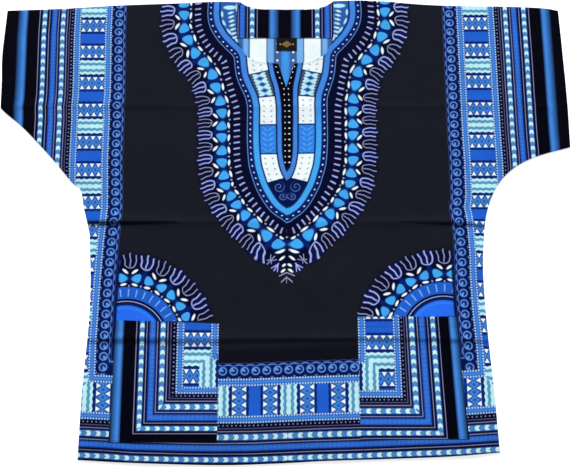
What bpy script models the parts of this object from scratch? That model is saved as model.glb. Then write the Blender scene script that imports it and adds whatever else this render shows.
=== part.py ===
"""A printed cotton dashiki shirt, laid out flat with its front up.

The cuffs lie towards -X and +X, the hem towards -Y and the shoulders towards +Y. The origin is under the
middle of the shirt, on the surface that it lies on. Sizes are in millimetres and become metres in the meshes.
"""

import math
from collections import namedtuple

import bmesh
import bpy
from mathutils import Vector

MM = 0.001
WALL = 1.0
GAP = 0.3

# The outline, point by point. HALF_SPAN is half the width from cuff to cuff, HALF_LENGTH half the height
# from the hem to the shoulder.
HALF_SPAN = 494.5
HALF_LENGTH = 405.5
HEM = [(-325.5, -397.5), (-240, -402), (-105, -HALF_LENGTH), (-10, -403), (70, -399), (180, -395.5),
       (268, -392), (345, -386)]
RIGHT_SIDE = [(341, -290), (335, -185), (333, -90)]
RIGHT_UNDERARM = [(338, -25), (352, 105), (440, 112), (494, 128)]
RIGHT_CUFF = [(HALF_SPAN, 195), (493, 300)]
RIGHT_SHOULDER = [(491, 386), (462, 391), (395, 394), (320, 395), (250, 398), (185, 404), (135, HALF_LENGTH)]
LEFT_SHOULDER = [(-124, 403), (-200, 400), (-300, 396), (-380, 390.5), (-450, 387.5)]
LEFT_CUFF = [(-492, 386), (-HALF_SPAN, 300), (-492, 245)]
LEFT_UNDERARM = [(-491, 200), (-440, 146), (-340, 75), (-325, -25)]
LEFT_SIDE = [(-319, -110), (-319, -190), (-324, -290)]
CURVE_STEPS = 9

# The neck opening: both panels end at the neck points, and the front dips lower and has a slit.
RIGHT_NECK_POINT = (89, 404)
LEFT_NECK_POINT = (-75, 402)
BACK_NECKLINE = [(77, 396), (62, 391.5), (38, 389.5), (5, 389), (-26, 389.5), (-49, 391.5), (-65, 396)]
SLIT_FOOT = (5.5, 238)
FRONT_NECKLINE = [(91, 384), (89, 336), (84, 318), (75, 302), (66, 295), (39, 286), (20, 282.5), SLIT_FOOT,
                  (-8, 281.5), (-28, 286), (-57, 291.5), (-67, 301), (-76, 317), (-82, 336), (-82, 384)]

# The back neck facing lies on the inside of the back, and the label hangs from its lower edge.
FACING_DEPTH_Y = 333
FACING_SIDES = (-95, 103)
FACING_INSET = 1.5
LABEL_MIDDLE_X = 6.5
LABEL_WIDTH = 36
LABEL_HEIGHT = 24

# A pocket's foot and mouth are its lower and upper edges, each with its own ends, because the sides slant.
Pocket = namedtuple("Pocket", "name foot foot_left foot_right mouth mouth_left mouth_right")
POCKETS = [
    Pocket("pocket_left", foot=-370, foot_left=-277.5, foot_right=-105, mouth=-176.5, mouth_left=-273.5,
           mouth_right=-104.5),
    Pocket("pocket_right", foot=-365, foot_left=124, foot_right=297, mouth=-168, mouth_left=122.5,
           mouth_right=284.5),
]

# The creases where the shirt was folded. Each runs across the whole shirt, with a share of its height at the
# left, in the middle and at the right: CREASE_BLEND from the middle, the side's share is reached.
Crease = namedtuple("Crease", "y height reach left middle right")
CREASES = [
    Crease(y=202, height=2.0, reach=16, left=0.8, middle=0.7, right=0.6),
    Crease(y=-6, height=3.0, reach=16, left=1.0, middle=0.45, right=0.9),
    Crease(y=-203, height=2.2, reach=16, left=0.6, middle=1.0, right=0.7),
]
CREASE_CUTS = (-16, -8, -3.5, 0, 3.5, 8, 16)
CREASE_BLEND = 300

# Where the front lies a little off the back, as low mounds: centre, reach along X and Y, and height.
Mound = namedtuple("Mound", "x y reach_x reach_y height")
MOUNDS = [
    Mound(-205, 110, 120, 85, 1.6),
    Mound(215, 120, 120, 90, 1.4),
    Mound(-405, 290, 75, 85, 1.4),
    Mound(415, 285, 80, 90, 1.6),
    Mound(20, -100, 210, 75, 1.3),
    Mound(-250, -110, 70, 80, 1.2),
    Mound(270, -100, 60, 90, 1.3),
    Mound(10, -300, 120, 80, 1.0),
    Mound(-190, -400, 90, 45, 1.3),
    Mound(90, -400, 80, 40, 1.0),
    Mound(300, -385, 60, 50, 1.5),
    Mound(-495, 300, 40, 60, 1.2),
    Mound(495, 240, 40, 80, 1.5),
]
SEAM_HOLD = 45

# Round the neck the front lies over the facing: its rise is whole as far as NECK_PROP from the neckline, and
# runs out over the next NECK_SLOPE.
NECK_RISE = WALL + GAP + 0.1
NECK_PROP = 32
NECK_SLOPE = 60

# The spacing of the lines that a draped panel is cut along, so that it can bend there.
CUT_STEP = 30
MERGE_DISTANCE = 1e-6

INK = (0.010, 0.011, 0.020, 1)
PRINT_BLUE = (0.03, 0.16, 0.62, 1)
LABEL_BLACK = (0.012, 0.011, 0.012, 1)
COTTON_ROUGHNESS = 0.82
SATIN_ROUGHNESS = 0.45


def bezier(points, steps):
    """Points along a cubic Bezier curve, both ends included."""
    a, b, c, d = (Vector(p) for p in points)
    curve = []
    for i in range(steps + 1):
        t = i / steps
        s = 1 - t
        p = a * s**3 + b * 3 * s * s * t + c * 3 * s * t * t + d * t**3
        curve.append((p.x, p.y))
    return curve


def side_seams():
    """The two runs where front and back are sewn: from hem to cuff on each side, without the cuffs."""
    right = [HEM[-1]] + RIGHT_SIDE + bezier(RIGHT_UNDERARM, CURVE_STEPS)
    left = bezier(LEFT_UNDERARM, CURVE_STEPS) + LEFT_SIDE + [HEM[0]]
    return right, left


def shoulder_seams():
    return RIGHT_SHOULDER + [RIGHT_NECK_POINT], [LEFT_NECK_POINT] + LEFT_SHOULDER + [LEFT_CUFF[0]]


def outline(neckline):
    """The panel's edge, anticlockwise from the left end of the hem."""
    right, left = side_seams()
    right_shoulder, left_shoulder = shoulder_seams()
    return (HEM[:-1] + right + RIGHT_CUFF + right_shoulder + neckline + left_shoulder[:-1]
            + LEFT_CUFF + left[:-1])


def distance_to_line(x, y, line):
    """How far a point lies from a line of straight stretches."""
    p = Vector((x, y))
    nearest = math.inf
    for start, end in zip(line, line[1:]):
        a, b = Vector(start), Vector(end)
        along = b - a
        t = max(0.0, min(1.0, (p - a).dot(along) / along.length_squared))
        nearest = min(nearest, (a + along * t - p).length)
    return nearest


def smooth(t):
    t = max(0.0, min(1.0, t))
    return t * t * (3 - 2 * t)


def crease_height(crease, x, y):
    """A crease is a low ridge with a sharp crest, of uneven height along its length."""
    away = abs(y - crease.y) / crease.reach
    if away >= 1:
        return 0.0
    end = crease.left if x < 0 else crease.right
    share = crease.middle + (end - crease.middle) * smooth(abs(x) / CREASE_BLEND)
    return crease.height * share * (1 - away) ** 2


def mound_height(mound, x, y):
    far = math.hypot((x - mound.x) / mound.reach_x, (y - mound.y) / mound.reach_y)
    return mound.height * (1 - smooth(far))


def lift(x, y):
    """How far the front lies above the back, beyond their gap. Seams hold it down, and the facing props it up."""
    right, left = side_seams()
    right_shoulder, left_shoulder = shoulder_seams()
    seam = min(distance_to_line(x, y, line) for line in (right, left, right_shoulder, left_shoulder))
    free = sum(crease_height(crease, x, y) for crease in CREASES)
    free += sum(mound_height(mound, x, y) for mound in MOUNDS)
    neck = distance_to_line(x, y, [RIGHT_NECK_POINT] + FRONT_NECKLINE + [LEFT_NECK_POINT])
    return free * smooth(seam / SEAM_HOLD) + NECK_RISE * (1 - smooth((neck - NECK_PROP) / NECK_SLOPE))


def front_underside(x, y):
    return WALL + GAP + lift(x, y)


def pocket_underside(x, y):
    return front_underside(x, y) + WALL + GAP


def cut_lines():
    """The X and Y values where draped panels bend: an even grid, the creases and the pockets' edges."""
    steps = int(HALF_SPAN // CUT_STEP)
    xs = {i * CUT_STEP for i in range(-steps, steps + 1)}
    ys = {i * CUT_STEP for i in range(-steps, steps + 1)}
    crease_ys = {crease.y + cut for crease in CREASES for cut in CREASE_CUTS}
    pocket_xs = {edge for pocket in POCKETS for edge in (pocket.foot_left, pocket.foot_right)}
    pocket_ys = {edge for pocket in POCKETS for edge in (pocket.foot, pocket.mouth)}
    close = CUT_STEP / 4
    ys = {y for y in ys if all(abs(y - fixed) > close for fixed in crease_ys | pocket_ys)}
    xs = {x for x in xs if all(abs(x - fixed) > close for fixed in pocket_xs)}
    return sorted(xs | pocket_xs), sorted(ys | crease_ys | pocket_ys)


def cotton(name, colour, roughness):
    material = bpy.data.materials.new(name)
    material.use_nodes = True
    shader = material.node_tree.nodes["Principled BSDF"]
    shader.inputs["Base Color"].default_value = colour
    shader.inputs["Roughness"].default_value = roughness
    shader.inputs["Metallic"].default_value = 0.0
    material.diffuse_color = colour
    return material


def cut_along(mesh, axis, value):
    """Cuts every face along one line, so that the panel can bend there."""
    everything = mesh.verts[:] + mesh.edges[:] + mesh.faces[:]
    place = axis * (value * MM)
    bmesh.ops.bisect_plane(mesh, geom=everything, dist=MERGE_DISTANCE, plane_co=place, plane_no=axis)


def panel(name, edge, underside, material, cuts=None):
    """A flat pattern piece with the given edge, bent to its underside's height and given its wall."""
    bm = bmesh.new()
    bm.faces.new([bm.verts.new((x * MM, y * MM, 0)) for x, y in edge])
    bm.normal_update()
    if bm.faces[:][0].normal.z < 0:
        bmesh.ops.reverse_faces(bm, faces=bm.faces[:])
    if cuts:
        for x in cuts[0]:
            cut_along(bm, Vector((1, 0, 0)), x)
        for y in cuts[1]:
            cut_along(bm, Vector((0, 1, 0)), y)
    for vertex in bm.verts:
        vertex.co.z = underside(vertex.co.x / MM, vertex.co.y / MM) * MM
    bmesh.ops.triangulate(bm, faces=bm.faces[:], quad_method="BEAUTY", ngon_method="BEAUTY")
    mesh = bpy.data.meshes.new(name)
    bm.to_mesh(mesh)
    bm.free()
    mesh.materials.append(material)
    obj = bpy.data.objects.new(name, mesh)
    bpy.data.collections["dashiki_shirt"].objects.link(obj)
    wall = obj.modifiers.new("wall", "SOLIDIFY")
    wall.thickness = WALL * MM
    wall.offset = 1.0
    return obj


def back_panel(material):
    return panel("back_panel", outline(BACK_NECKLINE), lambda x, y: 0.0, material)


def front_panel(material):
    return panel("front_panel", outline(FRONT_NECKLINE), front_underside, material, cut_lines())


def neck_facing(material):
    """The band of cloth behind the neck. Its upper edge follows the back neckline, just inside it."""
    left, right = FACING_SIDES
    neckline = [RIGHT_NECK_POINT] + BACK_NECKLINE + [LEFT_NECK_POINT]
    top = [(x, y - FACING_INSET) for x, y in neckline]
    edge = [(left, FACING_DEPTH_Y), (right, FACING_DEPTH_Y), (right, top[0][1])] + top + [(left, top[-1][1])]
    return panel("neck_facing", edge, lambda x, y: WALL + GAP, material)


def neck_label(material):
    left = LABEL_MIDDLE_X - LABEL_WIDTH / 2
    top = FACING_DEPTH_Y - GAP
    edge = [(left, top - LABEL_HEIGHT), (left + LABEL_WIDTH, top - LABEL_HEIGHT),
            (left + LABEL_WIDTH, top), (left, top)]
    return panel("neck_label", edge, lambda x, y: WALL + GAP, material)


def patch_pocket(pocket, material):
    edge = [(pocket.foot_left, pocket.foot), (pocket.foot_right, pocket.foot),
            (pocket.mouth_right, pocket.mouth), (pocket.mouth_left, pocket.mouth)]
    return panel(pocket.name, edge, pocket_underside, material, cut_lines())


def main():
    for obj in list(bpy.data.objects):
        bpy.data.objects.remove(obj)
    shirt = bpy.data.collections.new("dashiki_shirt")
    bpy.context.scene.collection.children.link(shirt)
    ink_cotton = cotton("ink_cotton", INK, COTTON_ROUGHNESS)
    printed_cotton = cotton("printed_cotton", PRINT_BLUE, COTTON_ROUGHNESS)
    label_satin = cotton("label_satin", LABEL_BLACK, SATIN_ROUGHNESS)
    back_panel(ink_cotton)
    front_panel(ink_cotton)
    neck_facing(printed_cotton)
    neck_label(label_satin)
    for pocket in POCKETS:
        patch_pocket(pocket, printed_cotton)


main()
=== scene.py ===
import math
from collections import namedtuple

import bmesh
import bpy
import numpy as np
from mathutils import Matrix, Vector


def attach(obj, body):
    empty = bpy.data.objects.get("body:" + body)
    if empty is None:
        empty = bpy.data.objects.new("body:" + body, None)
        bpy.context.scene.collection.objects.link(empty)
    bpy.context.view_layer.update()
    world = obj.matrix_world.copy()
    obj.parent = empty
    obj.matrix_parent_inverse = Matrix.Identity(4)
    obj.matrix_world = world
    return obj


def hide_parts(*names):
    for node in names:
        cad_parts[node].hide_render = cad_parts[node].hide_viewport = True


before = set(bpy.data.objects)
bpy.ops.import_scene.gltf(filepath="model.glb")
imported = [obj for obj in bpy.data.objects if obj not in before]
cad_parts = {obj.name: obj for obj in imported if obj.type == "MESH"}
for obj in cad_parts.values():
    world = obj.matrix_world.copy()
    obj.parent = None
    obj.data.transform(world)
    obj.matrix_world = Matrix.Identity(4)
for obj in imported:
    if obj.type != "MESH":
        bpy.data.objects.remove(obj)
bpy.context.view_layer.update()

# Sizes are in millimetres and become metres in the meshes. Colours are sRGB, 0 to 255.
MM = 0.001

# The camera looks down on the shirt, tilted towards the hem.
CAMERA_TARGET = Vector((0.0035, -0.0255, 0.0))
CAMERA_DISTANCE = 1.696
CAMERA_TILT = math.radians(15)
CAMERA_LENS = 63.7

# The cut: the same outline as the solids, run by run.
HALF_SPAN = 494.5
HALF_LENGTH = 405.5
HEM = [
    (-325.5, -397.5), (-240, -402), (-105, -HALF_LENGTH), (-10, -403), (70, -399), (180, -395.5),
    (268, -392), (345, -386),
]
RIGHT_SIDE = [(345, -386), (341, -290), (335, -185), (333, -90), (338, -25)]
RIGHT_UNDERARM = [(338, -25), (352, 105), (440, 112), (494, 128)]
RIGHT_CUFF = [(494, 128), (HALF_SPAN, 195), (493, 300), (491, 386)]
RIGHT_SHOULDER = [
    (491, 386), (462, 391), (395, 394), (320, 395), (250, 398), (185, 404), (135, HALF_LENGTH), (89, 404),
]
LEFT_SHOULDER = [
    (-75, 402), (-124, 403), (-200, 400), (-300, 396), (-380, 390.5), (-450, 387.5), (-492, 386),
]
LEFT_CUFF = [(-492, 386), (-HALF_SPAN, 300), (-492, 245), (-491, 200)]
LEFT_UNDERARM = [
    (-491, 200), (-479, 188.5), (-452, 166), (-425, 138.5), (-398, 109.5), (-375, 82.5), (-358, 62.5),
    (-346, 54), (-341, 42), (-337, 20), (-331, -2), (-325, -25),
]
LEFT_SIDE = [(-325, -25), (-319, -110), (-319, -190), (-324, -290), (-325.5, -397.5)]
BACK_NECKLINE = [
    (89, 404), (77, 396), (62, 391.5), (38, 389.5), (5, 389), (-26, 389.5), (-49, 391.5), (-65, 396),
    (-75, 402),
]
SLIT_FOOT = (5.5, 238)
RIGHT_NECKLINE = [(89, 404), (91, 384), (89, 336), (84, 318), (75, 302), (66, 295), (39, 286), (20, 282.5)]
LEFT_NECKLINE = [
    (-8, 281.5), (-28, 286), (-57, 291.5), (-67, 301), (-76, 317), (-82, 336), (-82, 384), (-75, 402),
]
EDGE_STEP = 5.0

# How thick the cloth is drawn, and where its layers lie.
CLOTH = 0.7
LAYER = 1.3
SEAM_LAYER = 0.8
GRID = 6.0

# The neck facing and the label.
FACING_DEPTH_Y = 333
FACING_SIDES = (-95, 103)
LABEL_MIDDLE_X = 6.5
LABEL_SIZE = (36, 24)

# The two patch pockets, each cut from a lower corner of the printed border.
Pocket = namedtuple("Pocket", "name foot foot_left foot_right mouth mouth_left mouth_right droop")
POCKETS = [
    Pocket("pocket_left", foot=-370, foot_left=-277.5, foot_right=-105, mouth=-176.5, mouth_left=-273.5,
           mouth_right=-104.5, droop=3.0),
    Pocket("pocket_right", foot=-365, foot_left=124, foot_right=297, mouth=-168, mouth_left=122.5,
           mouth_right=284.5, droop=0.0),
]

# The three creases across the shirt, as in the solids, and the mounds where the front lies off the back.
Crease = namedtuple("Crease", "y height reach left middle right")
CREASES = [
    Crease(y=202, height=2.0, reach=16, left=0.6, middle=0.25, right=0.5),
    Crease(y=-6, height=3.0, reach=16, left=1.0, middle=0.25, right=0.8),
    Crease(y=-203, height=2.2, reach=16, left=0.6, middle=0.8, right=0.7),
]
CREASE_BLEND = 300
Mound = namedtuple("Mound", "x y reach_x reach_y height")
MOUNDS = [
    Mound(-205, 110, 120, 85, 1.6),
    Mound(215, 120, 120, 90, 1.4),
    Mound(-405, 290, 75, 85, 1.4),
    Mound(415, 285, 80, 90, 1.6),
    Mound(20, -100, 210, 75, 1.3),
    Mound(-250, -110, 70, 80, 1.2),
    Mound(270, -100, 60, 90, 1.3),
    Mound(10, -300, 120, 80, 1.0),
    Mound(-190, -400, 90, 45, 1.3),
    Mound(90, -400, 80, 40, 1.0),
    Mound(300, -385, 60, 50, 1.5),
    Mound(-495, 300, 40, 60, 1.2),
    Mound(495, 240, 40, 80, 1.5),
]
SEAM_HOLD = 45
NECK_RISE = 1.4
NECK_PROP = 32
NECK_SLOPE = 60

# Soft folds: from start to end, half their width, and how high the near and the far side of
# the line stand. Near is the side towards the hem, or towards the right on an upright fold.
Fold = namedtuple("Fold", "start end width near far")
FOLDS = [
    Fold((-330, -5), (-175, -7), 9, -1.5, 1.1),
    Fold((345, -12), (195, -5), 8, -1.3, 1.0),
    Fold((-330, 208), (-480, 202), 8, -0.7, 0.5),
    Fold((-300, 203), (-150, 204), 9, -0.6, 0.5),
    Fold((300, 206), (480, 212), 9, -0.6, 0.6),
    Fold((-320, -207), (-120, -209), 9, -0.9, 0.5),
    Fold((130, -199), (335, -196), 9, -0.9, 0.5),
    Fold((-100, -205), (110, -203), 10, -0.5, 0.4),
    Fold((-137, -60), (-139, 60), 10, -0.4, 0.3),
    Fold((147, 60), (149, -150), 11, -0.4, 0.3),
    Fold((-137, -215), (-139, -395), 11, 0.4, -0.3),
    Fold((-336, 62), (-285, 92), 5, 0.7, -0.3),
    Fold((-333, 40), (-290, 48), 5, 0.5, -0.3),
    Fold((-352, 88), (-325, 130), 6, 0.6, -0.3),
    Fold((352, 92), (312, 120), 5, 0.7, -0.3),
    Fold((346, 62), (300, 66), 5, 0.5, -0.3),
    Fold((378, 106), (352, 148), 6, 0.6, -0.3),
    Fold((-60, -405), (-48, -330), 8, 0.5, -0.3),
    Fold((232, -395), (222, -372), 7, 0.5, -0.2),
    Fold((-490, 250), (-430, 262), 8, 0.5, -0.3),
    Fold((492, 190), (425, 214), 8, 0.6, -0.3),
]

# The border print: how far each band lies from the print's axis, and the places on the shirt where those
# distances fall. The cloth lies a little unevenly, so the sides and the hem drift. Each pair holds a place
# and the value there.
BORDER_START = 281
LEFT_DRIFT = [
    (-250, 0), (-210, -0.5), (-160, 0.5), (-110, 1.5), (-70, 3), (-35, 4.5), (0, 7), (20, 8), (60, 6.5),
    (100, 4.5), (180, 4), (203, 2.5), (220, 3.5), (250, 3), (300, 1.5), (340, 0),
]
RIGHT_DRIFT = [
    (-250, 8), (-222, 7.5), (-187, 5.5), (-150, 3.5), (-100, 2.5), (-60, 3.5), (-25, 2.5), (5, 0.5),
    (20, -2), (40, 1.5), (100, 2), (150, 1), (390, 1),
]
HEM_DRIFT = [
    (-320, 7), (-280, 5), (-240, 2), (-160, 0), (-110, -0.5), (-50, 0), (0, 2), (50, 4), (120, 6), (200, 9),
    (280, 12), (340, 16),
]
HEM_BANDS = [
    (-432, 461), (-403, 432), (-397, 426), (-388, 417.5), (-379, 408.5), (-371.5, 401), (-362, 393),
    (-353, 385.5), (-344, 376.5), (-340, 373), (-328.5, 361), (-281, 317.5), (-269, 306), (-257, 293.5),
    (-247, 283.7), (0, 36.7), (420, -383),
]
SIDE_AXIS = 2.0
BROAD_BAND = (339.25, 21.75)
DOT_PITCH = 4.53
RING_PITCH = 17.5
TUFT_PITCH = 14.7
POINT_PITCH = 11.4
PANEL = 109.6
LEFT_PANELS = [
    (-381, -4), (-271.8, -3), (-162, -2), (-49, -1), (57, 0), (166, 1), (276, 2), (386, 3), (496, 4),
]
RIGHT_PANELS = [
    (-371, -4), (-262, -3), (-152, -2), (-42, -1), (57.5, 0), (168.5, 1), (279, 2), (391, 3), (501, 4),
]
HEM_PANEL_X = 9.5

# The same border on the pockets.
LEFT_POCKET_SIDE = [
    (-303, 500), (-277, 474), (-262, 458), (-239, 435), (-229.5, 426), (-222, 417.5), (-213, 408.5),
    (-204.5, 401), (-195.5, 393), (-188, 385.5), (-173, 373), (-161, 361), (-117, 317.5), (-105, 306),
    (-95, 296),
]
LEFT_POCKET_FOOT = [
    (-391, 468), (-356.5, 435), (-349, 426), (-340, 417.5), (-332.5, 408.5), (-323, 401), (-315, 393),
    (-305, 385.5), (-297, 376.5), (-293.5, 373), (-282.5, 361), (-172, 250),
]
RIGHT_POCKET_SIDE = [
    (114, 297), (123, 306), (135, 317.5), (180, 361), (190.5, 373), (202, 385.5), (210, 393), (219, 401),
    (229, 410), (245, 426), (254.5, 435), (273, 458), (287, 474), (310, 498),
]
RIGHT_POCKET_FOOT = [
    (-386, 459), (-364, 435), (-356, 426), (-347, 417.5), (-338.5, 408.5), (-329.5, 401), (-321.5, 393),
    (-312, 385.5), (-303, 376.5), (-299.5, 373), (-288, 361), (-168, 241),
]
POCKET_SLANT = [(135, 0), (190, 3), (214, 6), (236, 7), (250, 7), (290, 9)]

# The yoke print, on its own axis. A row gives half the width of the outer blue band at a height.
AXIS = [(-110, 6.5), (0, 8), (200, 7.5), (240, 5), (260, 4), (330, 3.5), (400, 2.3)]
YOKE_SKEW = 0.018
OUTER_BAND = [
    (-30, -14), (0, 10.5), (14, 20.5), (22.5, 30), (29, 40), (39.5, 60), (46, 80), (51, 100), (54, 140),
    (54, 200), (54.8, 210), (56, 220), (59, 230), (63, 240), (70, 260), (73, 280), (73.8, 290), (75.3, 300),
    (80.8, 310), (90.6, 320), (99.5, 330), (107.5, 340), (118.2, 360), (121.5, 380), (120.8, 400),
    (120.5, 420),
]
INNER_BAND = [
    (-6, 60), (0, 72), (4.5, 80), (8, 90), (10.5, 100), (13, 120), (13.5, 160), (14, 180), (14, 200),
    (15, 220), (17, 240), (22, 260), (25.5, 280), (29, 300), (32, 320), (35, 340),
]
PETALS = [
    (-15, -46), (15, -46), (36.5, -29), (57.5, -9), (73, 7), (87, 25), (97, 41), (106.5, 59), (109.5, 78),
    (113, 101), (113.5, 123), (114, 147.5), (114.5, 168), (114.5, 192), (117, 214), (123, 239), (129, 265),
    (143, 286), (160, 306), (172, 331), (180, 355), (180, 380), (180, 404), (180, 428),
]
FORKS = [
    (14, -62), (49, -52), (68.5, -38), (86.5, -20), (104.7, -4), (116, 19), (124, 41), (130, 62), (137, 86),
    (139.6, 109), (141.6, 131), (141.6, 153), (141.5, 175), (142.5, 195), (146.6, 216), (149, 241),
    (162, 262), (175, 283), (193, 306), (203.5, 335), (210, 363), (210.5, 390), (210.5, 417),
]
DASHES = [
    (-13, -19), (0, -24), (13, -19), (31, -3), (46, 12), (59, 30), (70, 48), (79, 67), (84, 90), (87, 120),
    (87.6, 190), (90, 208), (95, 230), (98, 247), (103.8, 268), (107, 287), (117, 297), (132, 313),
    (143, 331), (150, 348), (154, 368), (154, 404), (154, 430),
]
DASH_PITCH = 10.85
PETAL_PITCH = 22.5
PETAL_LINE = 60

# The half rosettes above the pockets.
Fan = namedtuple("Fan", "x y waist scale spacing")
FANS = [Fan(-258, -209.6, 2.0, 1.0, 1.0), Fan(265, -200, 1.9, 0.985, 0.944)]
FAN_RADIUS = 108
FAN_ZONE = -100

# The inks.
Ink = namedtuple("Ink", "red green blue")
# The ground's black, greyer than the deep black: partly its dye, partly painted sheen.
DYE_AND_SHEEN_BLACK = Ink(24, 26, 36)
DEEP_BLACK = Ink(2, 2, 15)
NIGHT_BLUE = Ink(3, 8, 42)
NAVY = Ink(6, 18, 70)
DARK_BLUE = Ink(8, 36, 112)
ROYAL = Ink(32, 94, 205)
MID_BLUE = Ink(66, 134, 222)
PETAL_BLUE = Ink(66, 168, 242)
PALE_CYAN = Ink(190, 238, 248)
TEAL = Ink(84, 150, 186)
WHITE = Ink(240, 252, 255)
TUFT_WHITE = Ink(212, 246, 253)
DOT_BLUE = Ink(196, 224, 248)
LILAC = Ink(166, 178, 244)
GREY_LILAC = Ink(160, 165, 205)
THIN_LINE = Ink(136, 138, 186)
BRIGHT_BLUE = Ink(40, 110, 245)
SLATE = Ink(60, 100, 160)
LIGHT_BLUE = Ink(120, 180, 238)
RING_BLUE = Ink(100, 148, 220)
BAND_BLUE = Ink(42, 98, 204)
LINE_BLUE = Ink(100, 128, 200)
BLOCK_BLUE = Ink(40, 92, 172)
CHAIN_BLUE = Ink(70, 134, 208)
BLOCK_SKY = Ink(42, 130, 232)
SCROLL_BLUE = Ink(74, 114, 198)
GOLD = Ink(190, 150, 70)
LABEL_BLACK = Ink(5, 5, 7)
THREAD_BLACK = Ink(16, 17, 26)
INK_EDGE = 0.7

# Sewing: how far the hems are turned in, and the length of a stitch.
HEM_TURN = 17.0
CUFF_TURN = 14.0
NECK_TURN = 4.0
POCKET_TURN = 2.5
STITCH = 3.2
POCKET_HEM = 16.0

# Where shade is painted into the creases: from start to end, half their width there, and how dark the painted
# shade is.
Shade = namedtuple("Shade", "start end wide narrow depth")
SHADES = [
    Shade((-345, -9), (-176, -7), 6.5, 1.5, 0.85),
    Shade((350, -13), (195, -6), 3.5, 1.2, 0.6),
    Shade((-335, -209), (-104, -211), 4.5, 4.0, 0.42),
    Shade((-104, -210), (122, -206), 4.5, 4.0, 0.55),
    Shade((345, -210), (122, -205), 4.0, 4.0, 0.42),
    Shade((-490, 199), (-140, 203), 4.0, 2.0, 0.1),
    Shade((490, 205), (150, 202), 4.0, 2.0, 0.1),
]


def table(rows, at):
    """Reads pairs of a place and a value at many positions, with straight stretches between them."""
    return np.interp(at, *zip(*rows))


def smooth(t):
    t = np.clip(t, 0.0, 1.0)
    return t * t * (3 - 2 * t)


def bezier(points, steps=24):
    """Points along a cubic Bezier curve, both ends included."""
    a, b, c, d = (np.array(p, float) for p in points)
    t = np.linspace(0, 1, steps + 1)[:, None]
    s = 1 - t
    return [tuple(p) for p in a * s**3 + b * 3 * s * s * t + c * 3 * s * t * t + d * t**3]


def curve_through(points, step=EDGE_STEP):
    """A smooth line through the points, with a point about every step."""
    p = np.array(points, float)
    padded = np.vstack([2 * p[0] - p[1], p, 2 * p[-1] - p[-2]])
    line = []
    for a, b, c, d in zip(padded, padded[1:], padded[2:], padded[3:]):
        count = max(1, int(round(np.linalg.norm(c - b) / step)))
        for t in np.arange(count) / count:
            line.append(tuple(0.5 * (2 * b + (c - a) * t + (2 * a - 5 * b + 4 * c - d) * t * t
                                     + (3 * b - a - 3 * c + d) * t**3)))
    line.append(tuple(p[-1]))
    return line


def straight(points, step=EDGE_STEP):
    """A line of straight stretches with a point about every step."""
    line = []
    for a, b in zip(points, points[1:]):
        count = max(1, int(round(math.dist(a, b) / step)))
        line += [(a[0] + (b[0] - a[0]) * i / count, a[1] + (b[1] - a[1]) * i / count) for i in range(count)]
    return line + [points[-1]]


def beside(line, x, y):
    """How far many points lie from a line, positive to its right, and how far along it they are."""
    line = np.array(line, float)
    start, run = line[:-1], np.diff(line, axis=0)
    length = np.hypot(run[:, 0], run[:, 1])
    before = np.concatenate([[0], np.cumsum(length)[:-1]])
    best = np.full(len(x), np.inf)
    side = np.zeros(len(x))
    along = np.zeros(len(x))
    for (sx, sy), (rx, ry), size, done in zip(start, run, length, before):
        dx, dy = x - sx, y - sy
        t = np.clip((dx * rx + dy * ry) / size**2, 0, 1)
        distance = np.hypot(dx - t * rx, dy - t * ry)
        nearer = distance < best
        best = np.where(nearer, distance, best)
        side = np.where(nearer, np.sign(dx * ry - dy * rx), side)
        along = np.where(nearer, done + t * size, along)
    return best * side, along


RIGHT_SEAM = curve_through(RIGHT_SIDE) + bezier(RIGHT_UNDERARM)[1:]
LEFT_SEAM = curve_through(LEFT_UNDERARM) + curve_through(LEFT_SIDE)[1:]
SHOULDERS = [curve_through(RIGHT_SHOULDER), curve_through(LEFT_SHOULDER)]
FRONT_NECKLINE = (curve_through(RIGHT_NECKLINE)[:-1] + straight([RIGHT_NECKLINE[-1], SLIT_FOOT])[:-1]
                  + straight([SLIT_FOOT, LEFT_NECKLINE[0]])[:-1] + curve_through(LEFT_NECKLINE))


def outline(neckline):
    """A panel's edge, anticlockwise from the left end of the hem."""
    runs = [curve_through(HEM), RIGHT_SEAM, curve_through(RIGHT_CUFF), SHOULDERS[0], neckline, SHOULDERS[1],
            curve_through(LEFT_CUFF), LEFT_SEAM]
    return [point for run in runs for point in run[:-1]]


def seam_distance(x, y):
    lines = [RIGHT_SEAM, LEFT_SEAM] + SHOULDERS
    return np.min([np.abs(beside(line, x, y)[0]) for line in lines], axis=0)


def crease_heights(x, y):
    """Each crease is a low ridge with a sharp crest, of uneven height along its length."""
    height = np.zeros(len(x))
    for crease in CREASES:
        away = np.clip(np.abs(y - crease.y) / crease.reach, 0, 1)
        end = np.where(x < 0, crease.left, crease.right)
        share = crease.middle + (end - crease.middle) * smooth(np.abs(x) / CREASE_BLEND)
        height += crease.height * share * (1 - away) ** 2
    return height


def mound_heights(x, y):
    height = np.zeros(len(x))
    for mound in MOUNDS:
        far = np.hypot((x - mound.x) / mound.reach_x, (y - mound.y) / mound.reach_y)
        height += mound.height * (1 - smooth(far))
    return height


def beside_stretch(stretch, x, y):
    """How far along a stretch a place is, from 0 at its start to 1 at its end, and how far across it."""
    (sx, sy), (ex, ey) = stretch.start, stretch.end
    length = math.dist(stretch.start, stretch.end)
    ux, uy = (ex - sx) / length, (ey - sy) / length
    return ((x - sx) * ux + (y - sy) * uy) / length, (x - sx) * uy - (y - sy) * ux


def fold_heights(x, y):
    """Each fold is a soft step along a line, deepest at its start and running out at its end."""
    height = np.zeros(len(x))
    for fold in FOLDS:
        along, across = beside_stretch(fold, x, y)
        if fold.end[0] < fold.start[0]:
            across = -across
        reach = fold.width * (1.15 - 0.6 * np.clip(along, 0, 1))
        strength = smooth((along + 0.12) / 0.12) * (1 - smooth((along - 0.35) / 0.65))
        near = fold.near * np.exp(-((across - reach * 0.5) / reach) ** 2)
        far = fold.far * np.exp(-((across + reach * 0.7) / reach) ** 2)
        height += strength * (near + far)
    return height


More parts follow.
